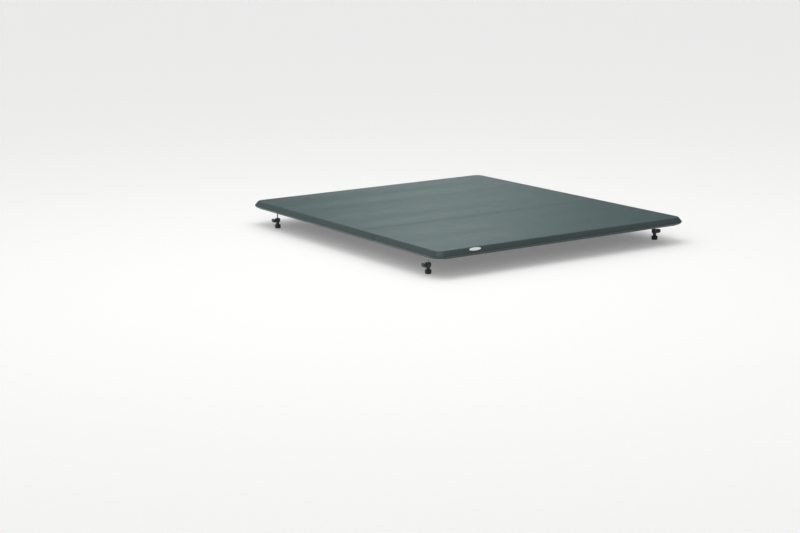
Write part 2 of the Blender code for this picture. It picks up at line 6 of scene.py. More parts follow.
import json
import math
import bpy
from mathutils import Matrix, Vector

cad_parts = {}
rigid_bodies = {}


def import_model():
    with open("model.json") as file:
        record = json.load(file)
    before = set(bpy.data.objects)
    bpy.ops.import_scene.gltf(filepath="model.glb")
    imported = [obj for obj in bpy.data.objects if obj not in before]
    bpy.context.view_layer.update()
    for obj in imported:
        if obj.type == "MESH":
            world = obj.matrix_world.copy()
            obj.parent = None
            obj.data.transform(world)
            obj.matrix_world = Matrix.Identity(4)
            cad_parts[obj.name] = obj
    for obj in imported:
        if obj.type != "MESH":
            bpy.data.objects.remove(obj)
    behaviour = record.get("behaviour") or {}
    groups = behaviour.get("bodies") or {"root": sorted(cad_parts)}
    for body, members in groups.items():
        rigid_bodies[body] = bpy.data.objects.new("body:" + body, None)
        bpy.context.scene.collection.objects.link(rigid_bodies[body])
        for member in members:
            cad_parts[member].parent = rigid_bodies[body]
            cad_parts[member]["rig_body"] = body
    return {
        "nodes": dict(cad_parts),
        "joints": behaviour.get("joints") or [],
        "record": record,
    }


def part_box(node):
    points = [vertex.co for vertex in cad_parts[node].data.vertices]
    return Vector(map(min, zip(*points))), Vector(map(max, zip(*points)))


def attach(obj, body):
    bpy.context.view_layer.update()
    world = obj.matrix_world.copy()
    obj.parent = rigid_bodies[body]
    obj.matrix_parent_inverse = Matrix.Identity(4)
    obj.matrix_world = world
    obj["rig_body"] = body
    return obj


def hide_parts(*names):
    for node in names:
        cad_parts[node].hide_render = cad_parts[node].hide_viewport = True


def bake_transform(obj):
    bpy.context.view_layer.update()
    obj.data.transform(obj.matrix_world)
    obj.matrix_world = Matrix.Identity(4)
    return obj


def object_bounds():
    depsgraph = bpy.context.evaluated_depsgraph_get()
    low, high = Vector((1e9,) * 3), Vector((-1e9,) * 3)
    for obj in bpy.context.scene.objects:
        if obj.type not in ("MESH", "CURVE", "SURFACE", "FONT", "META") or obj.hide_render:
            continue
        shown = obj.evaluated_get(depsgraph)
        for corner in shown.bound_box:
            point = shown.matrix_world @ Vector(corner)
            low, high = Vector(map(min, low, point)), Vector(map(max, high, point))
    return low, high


bl_info = {
    "name": "Folding bed cover",
    "version": (1, 0, 0),
    "blender": (4, 5, 0),
    "location": "View3D > Sidebar > Bed cover",
    "description": "Models the vinyl, fasteners and clamp details of a folding bed cover on its packed frame",
    "category": "Object",
}

import bmesh
import bpy
from bpy.props import FloatProperty, FloatVectorProperty, IntProperty, PointerProperty
from mathutils import Matrix, Vector, noise

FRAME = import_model()
CAD_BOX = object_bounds()
NODES = FRAME["nodes"]
JOINTS = {joint["name"]: joint for joint in FRAME["joints"]}

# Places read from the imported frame
SKIN_LOW, SKIN_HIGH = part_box("front_vinyl")
COVER_TOP = SKIN_HIGH.z
HEM_LOW = SKIN_LOW.z
EDGE_X = SKIN_HIGH.x
RAIL_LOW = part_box("middle_rail_right")[0].z
RAIL_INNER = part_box("middle_rail_right")[0].x
RAIL_WIDTH = 0.0560
SIDE_FACE = RAIL_INNER + RAIL_WIDTH
FRONT_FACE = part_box("front_header")[0].y + RAIL_WIDTH
REAR_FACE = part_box("rear_header")[1].y - RAIL_WIDTH
BOW_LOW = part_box("front_support_bow")[0].z
AXIS_Z = JOINTS["front_fold"]["pos_m"][2]
FOLD_Y = {name: JOINTS[name]["pos_m"][1] for name in JOINTS if "_fold" in name}
FRONT_LINK_Y = (FOLD_Y["front_fold"] + FOLD_Y["front_fold_second"]) / 2
REAR_LINK_Y = (FOLD_Y["rear_fold"] + FOLD_Y["rear_fold_second"]) / 2
CLAMPS = [f"{end}_clamp_{side}" for end in ("front", "rear") for side in ("left", "right")]

# The sheet's section, over the vinyl: distance out from the core line, and height
CORNER = 0.0660
CREASE = (0.0457, COVER_TOP)
NOSE = (0.0680, 0.0172)
FOOT = (0.0556, HEM_LOW)
HEM_END = (0.0520, HEM_LOW)
SECTION_RADII = (0.0140, 0.0045, 0.0030)
CORE_X = SIDE_FACE - CORNER
CORE_FRONT = FRONT_FACE - CORNER
CORE_REAR = REAR_FACE + CORNER

# The sheets' meshes: half the stretch slit at a fold, and the greatest spacing of points
BEND = 0.007
TOP_STEP = 0.012
SLOPE_STEP = 0.006


# Settings
def a_colour(name, description, default):
    return FloatVectorProperty(
        name=name, description=description, default=default, subtype="COLOR", min=0, max=1
    )


def a_length(name, description, default, least):
    return FloatProperty(name=name, description=description, default=default, min=least, unit="LENGTH")


def an_angle(name, description, degrees):
    return FloatProperty(name=name, description=description, default=math.radians(degrees), subtype="ANGLE")


class VinylSettings(bpy.types.PropertyGroup):
    thickness: a_length("Thickness", "Thickness of the vinyl", 0.0010, 0.0005)
    sag: a_length("Sag", "How far the vinyl sinks between two bows", 0.0013, 0)
    waver: a_length("Waver", "Height of the slow unevenness of the top", 0.0004, 0)
    pucker: a_length("Pucker", "Height of the gathers at the corners", 0.0004, 0)
    seam: a_length("Seam", "Place of the welded cross seam, from the middle", -0.2234, -1)
    grain: a_length("Grain", "Width of a pebble of the grain", 0.0015, 0.0003)
    colour: a_colour("Colour", "Colour of the vinyl", (0.025, 0.040, 0.041))
    backing: a_colour("Backing", "Colour of the woven back", (0.050, 0.050, 0.052))


class FrameSettings(bpy.types.PropertyGroup):
    coat: a_colour("Coat", "Powder coat on the rails and bows", (0.026, 0.026, 0.028))
    casting: a_colour("Casting", "Coat on the castings", (0.050, 0.051, 0.054))
    rubber: a_colour("Rubber", "Colour of the seals", (0.017, 0.017, 0.017))
    zinc: a_colour("Zinc", "Colour of the plated steel", (0.56, 0.56, 0.53))
    moulding: a_colour("Moulding", "Colour of the knobs", (0.021, 0.021, 0.023))
    plate: a_colour("Plate", "Colour of the blank plate", (0.72, 0.73, 0.72))
    pitch: a_length("Thread pitch", "Rise of the stud's thread per turn", 0.0020, 0.0005)
    lobes: IntProperty(name="Lobes", description="Lobes round a knob", default=6, min=3, max=9)


class StageSettings(bpy.types.PropertyGroup):
    floor: a_colour("Floor", "Colour of the floor", (0.80, 0.80, 0.79))
    lens: FloatProperty(name="Lens", description="Focal length", default=77.121, min=10, unit="CAMERA")
    azimuth: an_angle("Azimuth", "Heading of the camera", 32.784)
    fall: an_angle("Fall", "How far the camera looks down", 11.891)
    roll: an_angle("Roll", "Turn of the camera about its view", -0.795)


# Selection and placing
def deselect():
    if bpy.context.mode != "OBJECT":
        bpy.ops.object.mode_set(mode="OBJECT")
    bpy.ops.object.select_all(action="DESELECT")


def pick(piece):
    deselect()
    piece.select_set(True)
    bpy.context.view_layer.objects.active = piece


def apply_place():
    """Puts the place, turn and scale of what is selected into its mesh."""
    bpy.ops.object.transform_apply(location=True, rotation=True, scale=True)


def settle(piece, name):
    pick(piece)
    apply_place()
    piece.name = name
    piece.data.name = name
    return piece


def apply_all(piece):
    pick(piece)
    for modifier in list(piece.modifiers):
        bpy.ops.object.modifier_apply(modifier=modifier.name)


def smooth(piece, angle):
    pick(piece)
    bpy.ops.object.shade_smooth_by_angle(angle=math.radians(angle))


def copied(source, name, place):
    """A copy with a mesh of its own, moved by a matrix."""
    piece = source.copy()
    piece.data = source.data.copy()
    piece.name = name
    piece.data.name = name
    bpy.context.scene.collection.objects.link(piece)
    piece.data.transform(place)
    if place.determinant() < 0:
        piece.data.flip_normals()
    return piece


def discard(piece):
    mesh = piece.data
    bpy.data.objects.remove(piece)
    bpy.data.meshes.remove(mesh)


def dress(piece, finish, body):
    piece.data.materials.clear()
    piece.data.materials.append(finish)
    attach(piece, body)
    return piece


def select_faces(test):
    """Selects the faces of the mesh in edit mode whose middle and normal pass a test."""
    bpy.ops.mesh.select_all(action="DESELECT")
    bpy.ops.mesh.select_mode(type="FACE")
    mesh = bmesh.from_edit_mesh(bpy.context.object.data)
    for face in mesh.faces:
        face.select_set(test(face.calc_center_median(), face.normal))
    bmesh.update_edit_mesh(bpy.context.object.data)


def select_points(test):
    bpy.ops.mesh.select_all(action="DESELECT")
    bpy.ops.mesh.select_mode(type="VERT")
    mesh = bmesh.from_edit_mesh(bpy.context.object.data)
    for point in mesh.verts:
        point.select_set(test(point.co))
    mesh.select_flush_mode()
    bmesh.update_edit_mesh(bpy.context.object.data)


def add_wall(piece, thickness):
    """Gives a sheet a thickness, inwards."""
    wall = piece.modifiers.new("wall", "SOLIDIFY")
    wall.thickness = thickness
    wall.offset = -1
    return wall


def round_edges(piece, width, segments, angle=30):
    """Puts a bevel on the edges that turn by more than an angle."""
    edge = piece.modifiers.new("edge", "BEVEL")
    edge.width = width
    edge.segments = segments
    edge.limit_method = "ANGLE"
    edge.angle_limit = math.radians(angle)


def turned_piece(name, rings, sides):
    """A round piece drawn out ring by ring: the radius and height of each ring, closed at both ends."""
    deselect()
    radius, height = rings[0]
    bpy.ops.mesh.primitive_circle_add(
        vertices=sides, radius=radius, fill_type="NGON", location=(0, 0, height)
    )
    piece = bpy.context.object
    apply_place()
    bpy.ops.object.mode_set(mode="EDIT")
    bpy.ops.mesh.select_all(action="SELECT")
    for next_radius, next_height in rings[1:]:
        rise = (0, 0, next_height - height)
        bpy.ops.mesh.extrude_edges_move(TRANSFORM_OT_translate={"value": rise})
        factor = next_radius / radius
        bpy.ops.transform.resize(value=(factor, factor, 1), center_override=(0, 0, next_height))
        radius, height = next_radius, next_height
    bpy.ops.mesh.edge_face_add()
    bpy.ops.mesh.select_all(action="SELECT")
    bpy.ops.mesh.normals_make_consistent(inside=False)
    bpy.ops.object.mode_set(mode="OBJECT")
    piece.name = name
    return piece


# Shader maths
class Term:
    """A shader socket that Python's operators work on. Each operator adds one Math node."""

    def __init__(self, tree, socket):
        self.tree = tree
        self.socket = socket

    def node(self, kind, settings=None, inputs=None, output=0):
        """Adds a node, sets it up, fills its sockets with values or links, and wraps one of its outputs."""
        made = self.tree.nodes.new(kind)
        for key, value in (settings or {}).items():
            if key == "stops":
                for element, (place, level) in zip(made.color_ramp.elements, value):
                    element.position = place
                    element.color = (level, level, level, 1)
            else:
                setattr(made, key, value)
        for key, value in (inputs or {}).items():
            if isinstance(value, Term):
                self.tree.links.new(value.socket, made.inputs[key])
            else:
                made.inputs[key].default_value = value
        return Term(self.tree, made.outputs[output])

    def maths(self, operation, *values):
        return self.node("ShaderNodeMath", {"operation": operation}, dict(enumerate(values)))

    def __add__(self, other):
        return self.maths("ADD", self, other)

    def __radd__(self, other):
        return self.maths("ADD", other, self)

    def __sub__(self, other):
        return self.maths("SUBTRACT", self, other)

    def __rsub__(self, other):
        return self.maths("SUBTRACT", other, self)

    def __mul__(self, other):
        return self.maths("MULTIPLY", self, other)

    def __rmul__(self, other):
        return self.maths("MULTIPLY", other, self)

    def least(self, other):
        return self.maths("MINIMUM", self, other)

    def noise(self, size, detail=2.0):
        values = {"Vector": self, "Scale": 1 / size, "Detail": detail}
        return self.node("ShaderNodeTexNoise", None, values, "Fac")

    def cells(self, size, feature):
        values = {"Vector": self, "Scale": 1 / size}
        return self.node("ShaderNodeTexVoronoi", {"feature": feature}, values, "Distance")

    def ramp(self, low, high):
        """0 below one level and 1 above another."""
        return self.node("ShaderNodeValToRGB", {"stops": ((low, 0.0), (high, 1.0))}, {0: self})

    def shades(self, dark, light):
        """A colour between two, by this value."""
        values = {0: self, 6: (*dark, 1), 7: (*light, 1)}
        return self.node("ShaderNodeMix", {"data_type": "RGBA"}, values, 2)

    def stretched(self, scale):
        return self.node("ShaderNodeMapping", None, {"Vector": self, "Scale": scale})

    def part(self, axis):
        return self.node("ShaderNodeSeparateXYZ", None, {0: self}, axis)


# Spacing of the threads of the woven back, and of the ribs along a seal
WEAVE_PITCH = 0.0016
RIB_PITCH = 0.0030


def start_finish(name):
    """A new material, and the place on the piece that its patterns read."""
    material = bpy.data.materials.new(name)
    material.use_nodes = True
    tree = material.node_tree
    coordinates = tree.nodes.new("ShaderNodeTexCoord")
    return material, Term(tree, coordinates.outputs["Object"])


def end_finish(material, place, sockets, height=None, depth=0.0002, strength=0.6):
    """Fills the shader's sockets, and gives it a bump of some depth."""
    shader = material.node_tree.nodes["Principled BSDF"]
    if height is not None:
        values = {"Height": height, "Distance": depth, "Strength": strength}
        sockets = {**sockets, "Normal": place.node("ShaderNodeBump", None, values)}
    for key, value in sockets.items():
        if isinstance(value, Term):
            material.node_tree.links.new(value.socket, shader.inputs[key])
        else:
            shader.inputs[key].default_value = value
    return material


def scaled(colour, factor):
    return tuple(min(1.0, channel * factor) for channel in colour)


def vinyl_finish(settings):
    """Satin vinyl with a pebbled grain, painted shade in the grooves between the pebbles, a little dust and
    slow changes of gloss.
    """
    material, place = start_finish("grained_vinyl")
    wander = place.noise(0.004) * 0.0006
    bent = place.node("ShaderNodeVectorMath", {"operation": "ADD"}, {0: place, 1: wander})
    pebbles = bent.cells(settings.grain, "DISTANCE_TO_EDGE")
    pebble_height_and_shade = (pebbles * 5).least(1.0)
    fine = place.noise(settings.grain * 0.3, 3.0)
    slow = place.noise(0.32, 2.0)
    dust = place.noise(0.045, 5.0).ramp(0.55, 0.80)
    height = pebble_height_and_shade * 0.75 + fine * 0.25
    # The pebbles' height also feeds the colour: darker in the grooves between the pebbles and lighter on
    # their tops, a painted shade and painted highlight in the grain.
    tone = slow * 0.40 + pebble_height_and_shade * 0.45 + dust * 0.15
    colour = tone.shades(scaled(settings.colour, 0.72), scaled(settings.colour, 1.34))
    gloss = 0.30 + slow * 0.08 + dust * 0.06 - pebble_height_and_shade * 0.04
    sockets = {"Base Color": colour, "Roughness": gloss, "Specular IOR Level": 0.38}
    sockets |= {"Sheen Weight": 0.16, "Sheen Roughness": 0.40, "Sheen Tint": (0.40, 1.0, 1.0, 1.0)}
    return end_finish(material, place, sockets, height, 0.00014, 0.45)


def backing_finish(settings):
    """The woven back of the vinyl."""
    material, place = start_finish("woven_backing")
    across = place.maths("SINE", place.part(0) * (math.tau / WEAVE_PITCH))
    along = place.maths("SINE", place.part(1) * (math.tau / WEAVE_PITCH))
    weave = across * along * 0.5 + 0.5
    fluff = place.noise(0.006, 4.0)
    tone = weave * 0.6 + fluff * 0.4
    colour = tone.shades(scaled(settings.backing, 0.5), scaled(settings.backing, 1.5))
    gloss = 0.84 + fluff * 0.1
    return end_finish(material, place, {"Base Color": colour, "Roughness": gloss}, weave, 0.0002, 0.5)


def coat_finish(settings):
    """Powder coat with an orange-peel skin, rubbed a little where it was handled."""
    material, place = start_finish("powder_coat")
    peel = place.noise(0.0011, 2.0)
    rubbed = place.noise(0.06, 6.0).ramp(0.60, 0.78)
    cloud = place.noise(0.20, 2.0)
    tone = cloud * 0.5 + rubbed * 0.5
    colour = tone.shades(scaled(settings.coat, 0.8), scaled(settings.coat, 1.9))
    gloss = 0.36 + peel * 0.10 + rubbed * 0.12
    return end_finish(material, place, {"Base Color": colour, "Roughness": gloss}, peel, 0.00008, 0.5)


def casting_finish(settings):
    """Die-cast metal under a thin dark coat, worn in patches."""
    material, place = start_finish("coated_casting")
    grit = place.noise(0.0008, 4.0)
    pits = place.cells(0.004, "SMOOTH_F1")
    worn = place.noise(0.02, 6.0).ramp(0.62, 0.74)
    tone = grit * 0.4 + worn * 0.6
    colour = tone.shades(scaled(settings.casting, 0.7), scaled(settings.casting, 2.2))
    gloss = 0.50 + grit * 0.14 - worn * 0.12
    height = grit * 0.7 + pits * 0.3
    sockets = {"Base Color": colour, "Roughness": gloss, "Metallic": worn * 0.6}
    return end_finish(material, place, sockets, height, 0.00015, 0.6)


def rubber_finish(settings, name, axis, middle):
    """Seal rubber with fine ribs along the seal."""
    material, place = start_finish(name)
    ribs = place.maths("SINE", (place.part(axis) - middle) * (math.tau / RIB_PITCH)) * 0.5 + 0.5
    skin = place.noise(0.0009, 3.0)
    bloom = place.noise(0.05, 4.0).ramp(0.52, 0.80)
    tone = bloom * 0.6 + skin * 0.4
    colour = tone.shades(scaled(settings.rubber, 0.7), scaled(settings.rubber, 2.0))
    gloss = 0.72 + bloom * 0.16
    height = ribs * 0.7 + skin * 0.3
    return end_finish(material, place, {"Base Color": colour, "Roughness": gloss}, height, 0.0005)


def zinc_finish(settings, name="zinc_plate", factor=1.0):
    """Zinc-plated steel with fine turning marks and dull patches."""
    material, place = start_finish(name)
    marks = place.stretched((1.0, 1.0, 9.0)).noise(0.0016, 3.0)
    dull = place.noise(0.009, 4.0)
    base = scaled(settings.zinc, factor)
    colour = (dull * 0.7 + marks * 0.3).shades(scaled(base, 0.62), scaled(base, 1.08))
    gloss = 0.24 + dull * 0.22
    sockets = {"Base Color": colour, "Roughness": gloss, "Metallic": 1.0}
    return end_finish(material, place, sockets, marks, 0.00004, 0.4)


def moulding_finish(settings):
    """Moulded plastic with a spark-eroded texture."""
    material, place = start_finish("moulded_plastic")
    spark = place.noise(0.0005, 3.0)
    handled = place.noise(0.014, 4.0).ramp(0.45, 0.75)
    tone = spark * 0.4 + handled * 0.6
    colour = tone.shades(scaled(settings.moulding, 0.8), scaled(settings.moulding, 1.7))
    gloss = 0.56 - handled * 0.16 + spark * 0.08
    return end_finish(material, place, {"Base Color": colour, "Roughness": gloss}, spark, 0.00012, 0.6)


def plate_finish(settings):
    """Pale satin enamel under a clear coat."""
    material, place = start_finish("pale_enamel")
    flake = place.noise(0.0012, 3.0)
    soil = place.noise(0.012, 5.0).ramp(0.58, 0.85)
    colour = (flake * 0.25 + (1 - soil) * 0.75).shades(scaled(settings.plate, 0.86), settings.plate)
    gloss = 0.30 + soil * 0.18
    sockets = {"Base Color": colour, "Roughness": gloss, "Coat Weight": 0.4, "Coat Roughness": 0.12}
    return end_finish(material, place, sockets, flake, 0.00003, 0.3)


FINISHES = {}


class BEDCOVER_OT_finishes(bpy.types.Operator):
    """Makes the finishes, and puts one on each piece of the frame"""

    bl_idname = "bed_cover.finishes"
    bl_label = "Finish the frame"

    def execute(self, context):
        vinyl = context.scene.bed_vinyl
        frame = context.scene.bed_frame
        side_middle = (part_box("middle_seal_right")[0].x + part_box("middle_seal_right")[1].x) / 2
        end_middle = (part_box("bulkhead_seal")[0].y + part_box("bulkhead_seal")[1].y) / 2
        FINISHES["vinyl"] = vinyl_finish(vinyl)
        FINISHES["backing"] = backing_finish(vinyl)
        FINISHES["frame"] = coat_finish(frame)
        FINISHES["casting"] = casting_finish(frame)
        FINISHES["side_seal"] = rubber_finish(frame, "side_seal_rubber", 0, side_middle)
        FINISHES["end_seal"] = rubber_finish(frame, "end_seal_rubber", 1, end_middle)
        FINISHES["steel"] = zinc_finish(frame)
        FINISHES["screw"] = zinc_finish(frame, "dark_zinc", 0.30)
        FINISHES["knob"] = moulding_finish(frame)
        FINISHES["plate"] = plate_finish(frame)
        slots = {part["node"]: part["material_slot"] for part in FRAME["record"]["subparts"]}
        for name, node in NODES.items():
            finish = slots[name]
            if finish == "seal":
                finish = "end_seal" if name in ("bulkhead_seal", "tailgate_seal") else "side_seal"
            node.data.materials.clear()
            node.data.materials.append(FINISHES[finish])
        return {"FINISHED"}


# The vinyl

# The top: how far the end bays reach past the core, how flat the sag is across, and its slow unevenness
BAY_REACH = 0.055
SAG_FLATNESS = 6
WAVER_SCALE = (3.1, 4.3)
WAVER_SLICE = 0.7
# Where the sag fades out before the crease
FADE_START = CREASE[0] - 0.022
FADE_END = CREASE[0] - 0.006
# The gathers round a corner, and the rings over which they grow
PUCKER_WAVES = 22
PUCKER_RINGS = (-4, 3)
# The welded seam: its lap, the rise of one sheet, the dip of the other, and where both start and end
SEAM_LAP = 0.006
SEAM_RISE = 0.00030
SEAM_DIP = 0.00010
SEAM_EDGE = 0.004
SEAM_RUN = 0.040
# Rows of points to both sides of a fold and of the seam
FOLD_ROWS = (0.002, 0.0045, BEND, 0.009)
SEAM_ROWS = (0.014, 0.028, SEAM_RUN)
# The bindings of the slits: rows from the fold, lift over the vinyl, thickness and rounding
BINDING_ROWS = (0.0008, 0.0030, 0.0055, 0.0082)
BINDING_LIFT = 0.0003
BINDING_WALL = 0.0016
BINDING_ROUND = 0.0003
# Past either end of the cover
FAR = 2.0


def filleted(corners, radii, step):
    """An open path with rounded corners, and points no further apart than a step."""
    points = [Vector(corner) for corner in corners]
    rough = [points[0]]
    for before, corner, after, radius in zip(points, points[1:], points[2:], radii):
        back = (before - corner).normalized()
        ahead = (after - corner).normalized()
        half = back.angle(ahead) / 2
        centre = corner + (back + ahead).normalized() * radius / math.sin(half)
        first = corner + back * radius / math.tan(half) - centre
        last = corner + ahead * radius / math.tan(half) - centre
        sweep = first.angle(last)
        count = max(4, round(math.degrees(sweep) / 10))
        for i in range(count + 1):
            share = i / count
            spoke = first * math.sin(sweep * (1 - share)) + last * math.sin(sweep * share)
            rough.append(centre + spoke / math.sin(sweep))
    rough.append(points[-1])
    path = [rough[0]]
    for one, two in zip(rough, rough[1:]):
        count = max(1, math.ceil((two - one).length / step))
        path += [one.lerp(two, (i + 1) / count) for i in range(count)]
    return path


def section_normals(path):
    """The way out of the sheet at each point of its section."""
    normals = []
    for i in range(len(path)):
        along = path[min(i + 1, len(path) - 1)] - path[max(i - 1, 0)]
        normals.append(Vector((-along.y, along.x)).normalized())
    return normals


SECTION = filleted([(0, COVER_TOP), CREASE, NOSE, FOOT, HEM_END], SECTION_RADII, SLOPE_STEP)
SECTION_OUT = section_normals(SECTION)
SECTION_LENGTH = sum((b - a).length for a, b in zip(SECTION, SECTION[1:]))
RINGS = len(SECTION) - 1
# The first ring below the fold axes, where the sheet's side flaps are slit
SLIT_RING = next(i for i, point in enumerate(SECTION) if point.y < AXIS_Z)


def graded(start, end, step, extra):
    """Even stations between two places, with some exact ones put in."""
    kept = sorted([start, end] + [place for place in extra if start < place < end])
    count = max(1, round((end - start) / step))
    even = [start + (end - start) * i / count for i in range(count + 1)]
    even = [place for place in even if all(abs(place - other) > step / 4 for other in kept)]
    return sorted(kept + even)


def around(middle, offsets):
    """A place, and the places at some distances to both sides of it."""
    return [middle] + [middle + hand * offset for hand in (-1, 1) for offset in offsets]


def bays():
    """The stretches of the cover between its supports, as the start and end of each."""
    supports = [
        ("rear_support_bow", "rear_support_bow"),
        ("rear_fold_bow", "middle_fold_bow_rear"),
        ("middle_support_bow", "middle_support_bow"),
        ("middle_fold_bow_front", "front_fold_bow"),
        ("front_support_bow", "front_support_bow"),
    ]
    starts = [CORE_REAR - BAY_REACH] + [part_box(last)[1].y for first, last in supports]
    ends = [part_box(first)[0].y for first, last in supports] + [CORE_FRONT + BAY_REACH]
    return list(zip(starts, ends))


def eased(value, low, high):
    share = min(1.0, max(0.0, (value - low) / (high - low)))
    return share * share * (3 - 2 * share)


def top_lift(x, y, open_bays, settings):
    """How far the stretched top lies above or below its plane."""
    for start, end in open_bays:
        if start < y < end:
            share = (y - start) / (end - start)
            bay = 16 * share * share * (1 - share) * (1 - share)
            middle = 1 - abs(x / EDGE_X) ** SAG_FLATNESS
            uneven = noise.noise(Vector((x * WAVER_SCALE[0], y * WAVER_SCALE[1], WAVER_SLICE)))
            return -settings.sag * bay * middle + settings.waver * uneven * math.sqrt(bay)
    return 0.0


def seam_lift(y, seam, over):
    """The welded seam: one sheet rises over the edge of the other, which dips under it."""
    if over:
        return SEAM_RISE * (1 - eased(y, seam + SEAM_EDGE, seam + SEAM_RUN))
    return -SEAM_DIP * eased(y, seam - SEAM_RUN, seam - SEAM_EDGE)


def sheet_point(column, row):
    """A point of the sheet, its way out, its ring, and its turn round a corner.

    A column or row is its side or end, its ring over the edge (0 on the flat top), and its place.
    """
    side, across_ring, x = column
    end, along_ring, y = row
    ring = max(across_ring, along_ring)
    if ring == 0:
        return Vector((x, y, COVER_TOP)), Vector((0, 0, 1)), 0, 0.0
    if along_ring == 0:
        spoke = Vector((side, 0, 0))
        turn = 0.0
    elif across_ring == 0:
        spoke = Vector((0, end, 0))
        turn = 0.0
    else:
        if across_ring >= along_ring:
            turn = math.pi / 4 * along_ring / across_ring
        else:
            turn = math.pi / 2 - math.pi / 4 * across_ring / along_ring
        spoke = Vector((side * math.cos(turn), end * math.sin(turn), 0))
    out, height = SECTION[ring]
    way = spoke * SECTION_OUT[ring].x + Vector((0, 0, SECTION_OUT[ring].y))
    return Vector((x, y, 0)) + spoke * out + Vector((0, 0, height)), way, ring, turn


def sheet_columns():
    core = graded(-CORE_X, CORE_X, TOP_STEP, [])
    left = [(-1, ring, -CORE_X) for ring in range(RINGS, 0, -1)]
    right = [(1, ring, CORE_X) for ring in range(1, RINGS + 1)]
    return left + [(0, 0, x) for x in core] + right


def sheet_rows(start, end, extra):
    """Rows from rear to front. A sheet that reaches an end of the cover goes on over its edge."""
    low = max(start, CORE_REAR)
    high = min(end, CORE_FRONT)
    rows = [(0, 0, y) for y in graded(low, high, TOP_STEP, extra)]
    if start < CORE_REAR:
        rows = [(-1, ring, CORE_REAR) for ring in range(RINGS, 0, -1)] + rows
    if end > CORE_FRONT:
        rows += [(1, ring, CORE_FRONT) for ring in range(1, RINGS + 1)]
    return rows


def mesh_piece(name, points, faces):
    mesh = bpy.data.meshes.new(name)
    mesh.from_pydata(points, [], faces)
    mesh.update()
    piece = bpy.data.objects.new(name, mesh)
    bpy.context.scene.collection.objects.link(piece)
    return piece


def stretched_sheet(name, start, end, fold_y, settings, seam, over):
    """One width of vinyl over the frame, hemmed under it, with a slit in each side flap at the fold."""
    open_bays = bays()
    extra = around(fold_y, FOLD_ROWS)
    if seam is not None:
        extra += around(seam, SEAM_ROWS)
    columns = sheet_columns()
    rows = sheet_rows(start, end, extra)
    points = []
    for row in rows:
        for column in columns:
            point, way, ring, turn = sheet_point(column, row)
            flat = 1 - eased(SECTION[ring].x, FADE_START, FADE_END)
            lift = top_lift(point.x, point.y, open_bays, settings) * flat
            if turn:
                on_slope = eased(ring, SLIT_RING + PUCKER_RINGS[0], SLIT_RING + PUCKER_RINGS[1])
                gathers = math.sin(turn * PUCKER_WAVES) * math.sin(turn * 2)
                lift += settings.pucker * gathers * on_slope
            if seam is not None:
                lift += seam_lift(point.y, seam, over)
            points.append(point + way * lift)
    width = len(columns)
    faces = []
    for j in range(len(rows) - 1):
        middle = (rows[j][2] + rows[j + 1][2]) / 2
        slit = abs(middle - fold_y) < BEND
        for i in range(width - 1):
            ring = max(columns[i][1], columns[i + 1][1])
            if slit and ring > SLIT_RING:
                continue
            first = j * width + i
            faces.append((first, first + 1, first + width + 1, first + width))
    sheet = mesh_piece(name, points, faces)
    pick(sheet)
    bpy.ops.object.mode_set(mode="EDIT")
    bpy.ops.mesh.select_all(action="SELECT")
    bpy.ops.mesh.delete_loose()
    bpy.ops.object.mode_set(mode="OBJECT")
    return thickened(sheet, settings.thickness)


def thickened(sheet, thickness):
    """Gives a sheet its thickness, with the woven back as its inner face."""
    sheet.data.materials.append(FINISHES["vinyl"])
    sheet.data.materials.append(FINISHES["backing"])
    wall = add_wall(sheet, thickness)
    wall.use_even_offset = True
    wall.material_offset = 1
    apply_all(sheet)
    smooth(sheet, 40)
    return sheet


# Name, rear end, front end, fold and nodes of each sheet. An end of None is at the seam
SHEETS = [
    ("front_sheet", FRONT_LINK_Y, FAR, "front_fold", ("front_vinyl", "front_link_vinyl")),
    ("front_middle_sheet", None, FRONT_LINK_Y, "front_fold_second", ("middle_vinyl",)),
    ("rear_middle_sheet", REAR_LINK_Y, None, "rear_fold", ("middle_vinyl",)),
    ("rear_sheet", -FAR, REAR_LINK_Y, "rear_fold_second", ("rear_vinyl", "rear_link_vinyl")),
]
BINDINGS = {}


class BEDCOVER_OT_bindings(bpy.types.Operator):
    """Binds the slit edges of the side flaps at each fold"""

    bl_idname = "bed_cover.bindings"
    bl_label = "Bind the slits"

    def execute(self, context):
        path = range(SLIT_RING, RINGS + 1)
        for fold, y in FOLD_Y.items():
            joint = JOINTS[fold]
            for body, hand in ((joint["parent"], 1), (joint["child"], -1)):
                for side, label in ((-1, "left"), (1, "right")):
                    stations = sorted(y + hand * offset for offset in BINDING_ROWS)
                    points = []
                    for place in stations:
                        for ring in path:
                            point, way, _, _ = sheet_point((side, ring, side * CORE_X), (0, 0, place))
                            points.append(point + way * BINDING_LIFT)
                    count = len(path)
                    faces = []
                    for j in range(len(stations) - 1):
                        for i in range(count - 1):
                            first = j * count + i
                            loop = (first, first + 1, first + count + 1, first + count)
                            faces.append(loop if side > 0 else loop[::-1])
                    piece = mesh_piece(f"binding_{fold}_{body}_{label}", points, faces)
                    add_wall(piece, BINDING_WALL)
                    round_edges(piece, BINDING_ROUND, 2, 50)
                    apply_all(piece)
                    smooth(piece, 40)
                    dress(piece, FINISHES["vinyl"], body)
                    BINDINGS.setdefault(fold, []).append(piece)
        return {"FINISHED"}


